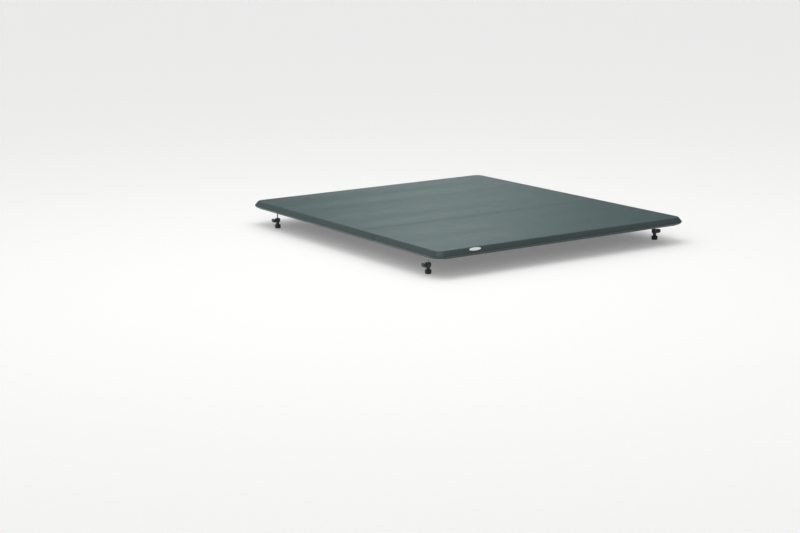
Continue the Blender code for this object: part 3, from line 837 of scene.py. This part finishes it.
class BEDCOVER_OT_vinyl(bpy.types.Operator):
    """Pulls four widths of vinyl over the frame, each slit at one fold line"""

    bl_idname = "bed_cover.vinyl"
    bl_label = "Stretch the vinyl"

    def execute(self, context):
        settings = context.scene.bed_vinyl
        for name, start, end, fold, nodes in SHEETS:
            over = start is None
            seam = settings.seam if None in (start, end) else None
            start = settings.seam - SEAM_LAP if start is None else start
            end = settings.seam + SEAM_LAP if end is None else end
            fold_y = FOLD_Y[fold]
            sheet = stretched_sheet(name, start, end, fold_y, settings, seam, over)
            fold_y + BEND
            fold_y - BEND
            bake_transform(sheet)
            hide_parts(*nodes)
            width = 2 * (CORE_X + SECTION_LENGTH)
            reach = min(end, CORE_FRONT) - max(start, CORE_REAR)
            ends = (end > CORE_FRONT) + (start < CORE_REAR)
            length = reach + ends * SECTION_LENGTH
            cut = width * length - ends * 2 * (1 - math.pi / 4) * SECTION_LENGTH**2
        return {"FINISHED"}


# The blank oval plate: its place across and down the slope, its lift, rings and stretch
LABEL_X = -0.608
LABEL_DROP = 0.38
LABEL_LIFT = 0.0004
LABEL_RINGS = (
    (0.0092, -0.0004), (0.0092, 0.0006), (0.0087, 0.0011), (0.0078, 0.0011),
    (0.0073, 0.0008), (0.0050, 0.0010), (0.0020, 0.0011),
)
LABEL_STRETCH = 4.1


class BEDCOVER_OT_label(bpy.types.Operator):
    """Puts a blank oval plate on the rear edge"""

    bl_idname = "bed_cover.label"
    bl_label = "Add the blank plate"

    def execute(self, context):
        plate = turned_piece("label_plate", LABEL_RINGS, 64)
        plate.scale = (LABEL_STRETCH, 1.0, 1.0)
        pick(plate)
        apply_place()
        smooth(plate, 50)
        slope = Vector(CREASE) - Vector(NOSE)
        middle = Vector(CREASE).lerp(Vector(NOSE), LABEL_DROP)
        lean = math.atan2(slope.y, -slope.x)
        plate.rotation_euler = (lean, 0, 0)
        way = Vector((0, -math.sin(lean), math.cos(lean)))
        plate.location = Vector((LABEL_X, CORE_REAR - middle.x, middle.y)) + way * LABEL_LIFT
        settle(plate, "label_plate")
        dress(plate, FINISHES["plate"], "rear_panel")
        return {"FINISHED"}


# Fasteners

# Gap between a fastener and what carries it
SEAT_GAP = 0.0001
# Screw heads: radius and height, places from the rails' outer faces, corners and clamps, and turn of each
SCREW_RADIUS = 0.0036
SCREW_HEIGHT = 0.0024
SIDE_INSET = 0.0430
END_INSET = 0.0515
CORNER_INSETS = (0.010, 0.026)
CLAMP_OFFSETS = (-0.011, 0.011)
SCREW_TURN = 0.7
# Gussets: length, width and thickness, gap to the rail, end of the short leg and its drop
GUSSET_SIZE = (0.0260, 0.0200, 0.0015)
GUSSET_GAP = 0.0005
GUSSET_LEG = -0.0020
GUSSET_DROP = 0.0052
GUSSET_TAPER = 0.6
GUSSET_ROUND = 0.0004
RIVET_PLACES = (-0.0085, -0.0190)
RIVET_RINGS = ((0.0030, -0.0014), (0.0030, -0.0019), (0.0024, -0.0027), (0.0012, -0.0031))
# On a fold bow, the gusset sits this far from the edge that has no hinge
FOLD_BOW_INSET = 0.013
HINGE_REACH = 0.02


def button_screw(name, radius, height):
    """A domed head with a six-sided socket, pointing down from z = 0."""
    rings = [(radius, 0.0), (radius, -height * 0.35), (radius * 0.92, -height * 0.70)]
    rings += [(radius * 0.72, -height * 0.95), (radius * 0.55, -height)]
    head = turned_piece(name, rings, 24)
    deselect()
    bpy.ops.mesh.primitive_cylinder_add(
        vertices=6, radius=radius * 0.42, depth=height, location=(0, 0, -height)
    )
    socket = bpy.context.object
    cut = head.modifiers.new("socket", "BOOLEAN")
    cut.object = socket
    cut.operation = "DIFFERENCE"
    cut.solver = "EXACT"
    apply_all(head)
    discard(socket)
    smooth(head, 35)
    return head


def screw_places():
    """Where the screws sit under the rails, and the body of each."""
    places = []
    side_x = SIDE_FACE - SIDE_INSET
    for end, body in ((1, "front_panel"), (-1, "rear_panel")):
        corner_y = CORE_FRONT if end > 0 else -CORE_REAR
        for side in (-1, 1):
            for back in CORNER_INSETS:
                places.append((body, side * side_x, end * (corner_y - back)))
                places.append((body, side * (CORE_X - back), end * (FRONT_FACE - END_INSET)))
            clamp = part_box(f"{'front' if end > 0 else 'rear'}_clamp_left_bracket")
            middle = (clamp[0].y + clamp[1].y) / 2
            for offset in CLAMP_OFFSETS:
                places.append((body, side * side_x, middle + offset))
    return places


class BEDCOVER_OT_screws(bpy.types.Operator):
    """Puts the screws under the corners and the clamp brackets"""

    bl_idname = "bed_cover.screws"
    bl_label = "Add the screws"

    def execute(self, context):
        head = button_screw("screw_pattern", SCREW_RADIUS, SCREW_HEIGHT)
        for i, (body, x, y) in enumerate(screw_places()):
            spin = Matrix.Rotation(SCREW_TURN * i, 4, "Z")
            piece = copied(head, f"screw_{i:02d}", Matrix.Translation((x, y, RAIL_LOW - SEAT_GAP)) @ spin)
            dress(piece, FINISHES["screw"], body)
        discard(head)
        return {"FINISHED"}


class BEDCOVER_OT_gussets(bpy.types.Operator):
    """Ties the ends of the bows to the rails with riveted angle plates"""

    bl_idname = "bed_cover.gussets"
    bl_label = "Add the gussets"

    def execute(self, context):
        pattern = self.pattern()
        bows = [node for node in NODES if node.endswith("_bow") or "_fold_bow_" in node]
        for node in bows:
            low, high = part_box(node)
            body = NODES[node]["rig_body"]
            middle = (low.y + high.y) / 2
            if "fold" in node:
                hinge_in_front = abs(low.y - self.nearest_fold(low, high)) > HINGE_REACH
                middle = low.y + FOLD_BOW_INSET if hinge_in_front else high.y - FOLD_BOW_INSET
            for side, label in ((-1, "left"), (1, "right")):
                turn = Matrix.Diagonal((side, 1, 1, 1))
                place = Matrix.Translation((side * RAIL_INNER, middle, BOW_LOW - SEAT_GAP)) @ turn
                piece = copied(pattern, f"gusset_{node}_{label}", place)
                dress(piece, FINISHES["steel"], body)
        discard(pattern)
        return {"FINISHED"}

    @staticmethod
    def nearest_fold(low, high):
        """The fold axis nearest to a fold bow."""
        return min(FOLD_Y.values(), key=lambda y: min(abs(y - low.y), abs(y - high.y)))

    @staticmethod
    def pattern():
        """An angle plate under a bow: its flat leg runs inwards, its short leg hangs by the rail's lip."""
        length, width, thickness = GUSSET_SIZE
        inner = -GUSSET_GAP - length
        deselect()
        bpy.ops.mesh.primitive_cube_add(size=1, location=(inner + length / 2, 0, -thickness / 2))
        plate = bpy.context.object
        plate.scale = GUSSET_SIZE
        apply_place()
        bpy.ops.object.mode_set(mode="EDIT")
        bpy.ops.mesh.select_all(action="SELECT")
        bpy.ops.mesh.bisect(plane_co=(GUSSET_LEG, 0, 0), plane_no=(1, 0, 0))
        select_faces(lambda middle, normal: normal.z < -0.9 and middle.x > GUSSET_LEG)
        bpy.ops.mesh.extrude_region_move(TRANSFORM_OT_translate={"value": (0, 0, -GUSSET_DROP)})
        select_points(lambda point: point.x < inner + GUSSET_GAP and abs(point.y) > width * 0.45)
        bpy.ops.transform.resize(value=(1, GUSSET_TAPER, 1), center_override=(inner, 0, 0))
        bpy.ops.object.mode_set(mode="OBJECT")
        round_edges(plate, GUSSET_ROUND, 2)
        apply_all(plate)
        rivets = []
        for x in RIVET_PLACES:
            rivet = turned_piece("rivet", RIVET_RINGS, 20)
            rivet.location = (x, 0, 0)
            rivets.append(settle(rivet, "rivet"))
        deselect()
        for rivet in rivets:
            rivet.select_set(True)
        plate.select_set(True)
        bpy.context.view_layer.objects.active = plate
        bpy.ops.object.join()
        smooth(plate, 35)
        return plate


# Clamps

# The stud's thread: radius of its ridge's middle, its first turn, the ridge, and how many turns and steps
THREAD_RADIUS = 0.00392
THREAD_TOP = 0.0100
RIDGE_RADIUS = 0.00038
RIDGE_STRETCH = 1.9
THREAD_TURNS = 31
THREAD_STEPS = 14
# The knobs: height of the collar, bore and its length, and the lobes round the rim
COLLAR = 0.0160
KNOB_BORE = 0.0044
BORE_LENGTH = 0.0320
LOBE_SIDES = 16
LOBE_START = 0.0145
LOBE_DEPTH = 0.13
LOBE_POWER = 1.6
LEVEL_MATCH = 0.002
# The jaw pads: floor of the jaw, width, ribs, thickness, rounding, reach from the stud and lift
JAW_FLOOR = -0.0560
PAD_WIDTH = 0.0120
PAD_STRIPS = 9
PAD_SHARE = 0.96
PAD_RIB = 0.0005
PAD_WALL = 0.0007
PAD_ROUND = 0.00012
PAD_REACH = 0.0175
PAD_LIFT = 0.0008


def stud_line(clamp):
    """A point on the line of a clamp's stud."""
    low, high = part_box(f"{clamp}_knob")
    return Vector(((low.x + high.x) / 2, (low.y + high.y) / 2, 0))


class BEDCOVER_OT_threads(bpy.types.Operator):
    """Cuts the thread on the clamps' studs"""

    bl_idname = "bed_cover.threads"
    bl_label = "Add the threads"

    def execute(self, context):
        pitch = context.scene.bed_frame.pitch
        deselect()
        quarter = math.radians(90)
        bpy.ops.mesh.primitive_circle_add(
            vertices=4, radius=RIDGE_RADIUS, location=(THREAD_RADIUS, 0, THREAD_TOP), rotation=(quarter, 0, 0)
        )
        ridge = bpy.context.object
        ridge.scale = (1, RIDGE_STRETCH, 1)
        apply_place()
        helix = ridge.modifiers.new("helix", "SCREW")
        helix.axis = "Z"
        helix.angle = math.tau
        helix.screw_offset = -pitch
        helix.iterations = THREAD_TURNS
        helix.steps = THREAD_STEPS
        helix.render_steps = THREAD_STEPS
        apply_all(ridge)
        bpy.ops.object.mode_set(mode="EDIT")
        bpy.ops.mesh.select_all(action="SELECT")
        bpy.ops.mesh.fill_holes(sides=4)
        bpy.ops.mesh.select_all(action="SELECT")
        bpy.ops.mesh.normals_make_consistent(inside=False)
        bpy.ops.object.mode_set(mode="OBJECT")
        smooth(ridge, 30)
        for clamp in CLAMPS:
            piece = copied(ridge, f"{clamp}_thread", Matrix.Translation(stud_line(clamp)))
            dress(piece, FINISHES["steel"], f"{clamp}_arm")
        discard(ridge)
        return {"FINISHED"}


class BEDCOVER_OT_knobs(bpy.types.Operator):
    """Models the lobed hand knobs of the clamps"""

    bl_idname = "bed_cover.knobs"
    bl_label = "Model the knobs"

    def execute(self, context):
        lobes = context.scene.bed_frame.lobes
        low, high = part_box(f"{CLAMPS[0]}_knob")
        top, bottom = high.z, low.z
        head = top - COLLAR
        rings = [(KNOB_BORE, top - BORE_LENGTH), (KNOB_BORE, top - 0.0005), (KNOB_BORE + 0.0005, top)]
        rings += [(0.0088, top), (0.0095, top - 0.0007), (0.0095, head + 0.0022), (0.0101, head + 0.0008)]
        rings += [(0.0117, head), (0.0150, head - 0.0003), (0.0168, head - 0.0011), (0.0178, head - 0.0027)]
        rings += [(0.0180, head - 0.0050), (0.0180, bottom + 0.0050), (0.0177, bottom + 0.0025)]
        rings += [(0.0167, bottom + 0.0009), (0.0148, bottom), (0.0128, bottom), (0.0120, bottom + 0.0006)]
        rings += [(0.0114, bottom + 0.0016), (0.0060, bottom + 0.0012), (0.0020, bottom + 0.0010)]
        sides = lobes * LOBE_SIDES
        knob = turned_piece("knob_pattern", rings, sides)
        pick(knob)
        bpy.ops.object.mode_set(mode="EDIT")
        for level in sorted({round(self.wave(lobes, math.tau * i / sides), 4) for i in range(LOBE_SIDES)}):
            select_points(lambda point: self.on_rim(point, lobes, level))
            factor = 1 - LOBE_DEPTH * (1 - level) ** LOBE_POWER
            bpy.ops.transform.resize(value=(factor, factor, 1), center_override=(0, 0, head))
        bpy.ops.object.mode_set(mode="OBJECT")
        smooth(knob, 40)
        for clamp in CLAMPS:
            piece = copied(knob, f"{clamp}_grip_knob", Matrix.Translation(stud_line(clamp)))
            dress(piece, FINISHES["knob"], f"{clamp}_handle")
            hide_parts(f"{clamp}_knob")
        discard(knob)
        return {"FINISHED"}

    @staticmethod
    def wave(lobes, turn):
        """1 at the middle of a lobe and 0 in the valley between two."""
        return abs(math.cos(lobes / 2 * turn))

    @classmethod
    def on_rim(cls, point, lobes, level):
        """Whether a point of the rim lies at one level of the lobes' wave."""
        wave = cls.wave(lobes, math.atan2(point.y, point.x))
        return math.hypot(point.x, point.y) > LOBE_START and abs(wave - level) < LEVEL_MATCH


class BEDCOVER_OT_jaw_pads(bpy.types.Operator):
    """Glues a ribbed rubber pad into each clamp's jaw"""

    bl_idname = "bed_cover.jaw_pads"
    bl_label = "Add the jaw pads"

    def execute(self, context):
        low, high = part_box(f"{CLAMPS[0]}_jaw")
        deselect()
        bpy.ops.mesh.primitive_grid_add(x_subdivisions=PAD_STRIPS, y_subdivisions=1, size=1)
        pad = bpy.context.object
        pad.scale = (PAD_WIDTH, (high.y - low.y) * PAD_SHARE, 1)
        apply_place()
        add_wall(pad, PAD_WALL)
        apply_all(pad)
        bpy.ops.object.mode_set(mode="EDIT")
        strip = PAD_WIDTH / PAD_STRIPS
        select_faces(lambda middle, normal: normal.z > 0.9 and round(middle.x / strip) % 2 == 0)
        bpy.ops.mesh.extrude_region_move(TRANSFORM_OT_translate={"value": (0, 0, PAD_RIB)})
        bpy.ops.object.mode_set(mode="OBJECT")
        round_edges(pad, PAD_ROUND, 1)
        apply_all(pad)
        smooth(pad, 35)
        for clamp in CLAMPS:
            line = stud_line(clamp)
            side = 1 if line.x > 0 else -1
            place = Vector((line.x + side * PAD_REACH, line.y, JAW_FLOOR + PAD_LIFT))
            piece = copied(pad, f"{clamp}_jaw_pad", Matrix.Translation(place))
            dress(piece, FINISHES["side_seal"], f"{clamp}_hook")
        discard(pad)
        return {"FINISHED"}


# Stage

FLOOR_SIZE = 160
FLOOR_GAP = 0.0004
FLOOR_GLOW = 0.20
LAMP_PLACE = (-1.4, -1.0, 4.6)
LAMP_SIZE = 3.5
LAMP_POWER = 60
# The world's light: dark and bright ends of its rise, how it leans to the left, and the heights it spans
WORLD_DARK = (0.06, 0.07, 0.07)
WORLD_BRIGHT = (0.94, 0.94, 0.94)
WORLD_LEAN = 0.3
WORLD_RISE = (0.12, 0.72)
# The bright strips ahead and behind: heading, strength, width, and the heights where each starts and ends
STRIP_HEADING = math.radians(34)
STRIP_STRENGTH = 16
STRIP_WIDTH = (0.01, 0.09)
STRIP_START = (0.13, 0.30)
STRIP_END = (0.36, 0.60)
# The camera's place over the cover's top
CAMERA_PLACE = (-5.708, -8.191, 1.755)
SENSOR_WIDTH = 36
CAMERA_REACH = 300


class BEDCOVER_OT_stage(bpy.types.Operator):
    """Makes the floor, the soft light and the camera"""

    bl_idname = "bed_cover.stage"
    bl_label = "Set the stage"

    def execute(self, context):
        settings = context.scene.bed_stage
        self.add_floor(settings)
        self.add_light(context)
        self.add_camera(context, settings)
        context.scene.view_settings.view_transform = "Standard"
        return {"FINISHED"}

    @staticmethod
    def add_floor(settings):
        deselect()
        bpy.ops.mesh.primitive_plane_add(size=FLOOR_SIZE, location=(0, 0, CAD_BOX[0].z - FLOOR_GAP))
        floor = bpy.context.object
        floor.name = "floor"
        material, place = start_finish("pale_floor")
        speck = place.noise(0.05, 3.0)
        colour = speck.shades(scaled(settings.floor, 0.985), scaled(settings.floor, 1.015))
        kinds = ("Camera", "Glossy", "Transmission")
        rays = [place.node("ShaderNodeLightPath", output=f"Is {kind} Ray") for kind in kinds]
        pale = sum(rays).least(1.0).shades((0, 0, 0), (FLOOR_GLOW, FLOOR_GLOW, FLOOR_GLOW))
        sockets = {"Base Color": colour, "Roughness": 0.85, "Specular IOR Level": 0.2}
        sockets |= {"Emission Color": pale, "Emission Strength": 1.0}
        end_finish(material, place, sockets)
        floor.data.materials.append(material)

    @staticmethod
    def add_light(context):
        world = bpy.data.worlds.new("studio")
        world.use_nodes = True
        tree = world.node_tree
        sky = Term(tree, tree.nodes.new("ShaderNodeTexCoord").outputs["Generated"])
        sideways = sky.part(0)
        height = sky.part(2)
        aside = sideways * math.cos(STRIP_HEADING) - sky.part(1) * math.sin(STRIP_HEADING)
        strip = 1 - aside.maths("ABSOLUTE", aside).ramp(*STRIP_WIDTH)
        strip = strip * height.ramp(*STRIP_START) * (1 - height.ramp(*STRIP_END))
        level = (height - sideways * WORLD_LEAN).ramp(*WORLD_RISE)
        glow = level.shades(WORLD_DARK, WORLD_BRIGHT)
        strength = 1 + strip * STRIP_STRENGTH
        background = tree.nodes["Background"]
        tree.links.new(glow.socket, background.inputs["Color"])
        tree.links.new(strength.socket, background.inputs["Strength"])
        context.scene.world = world
        lamp = bpy.data.lights.new("overhead_lamp", "AREA")
        lamp.shape = "RECTANGLE"
        lamp.size = LAMP_SIZE
        lamp.size_y = LAMP_SIZE
        lamp.energy = LAMP_POWER
        piece = bpy.data.objects.new("overhead_lamp", lamp)
        piece.location = LAMP_PLACE
        piece.rotation_euler = (-Vector(LAMP_PLACE)).to_track_quat("-Z", "Y").to_euler()
        context.scene.collection.objects.link(piece)

    @staticmethod
    def add_camera(context, settings):
        ahead = Vector((
            math.sin(settings.azimuth) * math.cos(settings.fall),
            math.cos(settings.azimuth) * math.cos(settings.fall),
            -math.sin(settings.fall),
        ))
        level = Vector((math.cos(settings.azimuth), -math.sin(settings.azimuth), 0))
        upright = level.cross(ahead)
        right = level * math.cos(settings.roll) + upright * math.sin(settings.roll)
        up = upright * math.cos(settings.roll) - level * math.sin(settings.roll)
        data = bpy.data.cameras.new("camera")
        data.sensor_width = SENSOR_WIDTH
        data.lens = settings.lens
        data.clip_end = CAMERA_REACH
        camera = bpy.data.objects.new("camera", data)
        turn = Matrix((right, up, -ahead)).transposed().to_4x4()
        place = Vector(CAMERA_PLACE) + Vector((0, 0, COVER_TOP))
        camera.matrix_world = Matrix.Translation(place) @ turn
        context.scene.collection.objects.link(camera)
        context.scene.camera = camera


OPERATORS = (
    BEDCOVER_OT_finishes,
    BEDCOVER_OT_bindings,
    BEDCOVER_OT_vinyl,
    BEDCOVER_OT_label,
    BEDCOVER_OT_screws,
    BEDCOVER_OT_gussets,
    BEDCOVER_OT_threads,
    BEDCOVER_OT_knobs,
    BEDCOVER_OT_jaw_pads,
    BEDCOVER_OT_stage,
)


class BEDCOVER_PT_panel(bpy.types.Panel):
    """Lists the cover's settings and the steps that build it"""

    bl_idname = "BEDCOVER_PT_panel"
    bl_label = "Bed cover"
    bl_space_type = "VIEW_3D"
    bl_region_type = "UI"
    bl_category = "Bed cover"

    def draw(self, context):
        for settings in (context.scene.bed_vinyl, context.scene.bed_frame, context.scene.bed_stage):
            box = self.layout.box()
            for name in settings.__annotations__:
                box.prop(settings, name)
        for operator in OPERATORS:
            self.layout.operator(operator.bl_idname)


CLASSES = (VinylSettings, FrameSettings, StageSettings, *OPERATORS, BEDCOVER_PT_panel)


def register():
    for item in CLASSES:
        bpy.utils.register_class(item)
    bpy.types.Scene.bed_vinyl = PointerProperty(type=VinylSettings)
    bpy.types.Scene.bed_frame = PointerProperty(type=FrameSettings)
    bpy.types.Scene.bed_stage = PointerProperty(type=StageSettings)


def unregister():
    del bpy.types.Scene.bed_stage
    del bpy.types.Scene.bed_frame
    del bpy.types.Scene.bed_vinyl
    for item in reversed(CLASSES):
        bpy.utils.unregister_class(item)


def main():
    register()
    steps = bpy.ops.bed_cover
    steps.stage()
    steps.finishes()
    steps.bindings()
    steps.vinyl()
    steps.label()
    steps.screws()
    steps.gussets()
    steps.threads()
    steps.knobs()
    steps.jaw_pads()


if __name__ == "__main__":
    main()
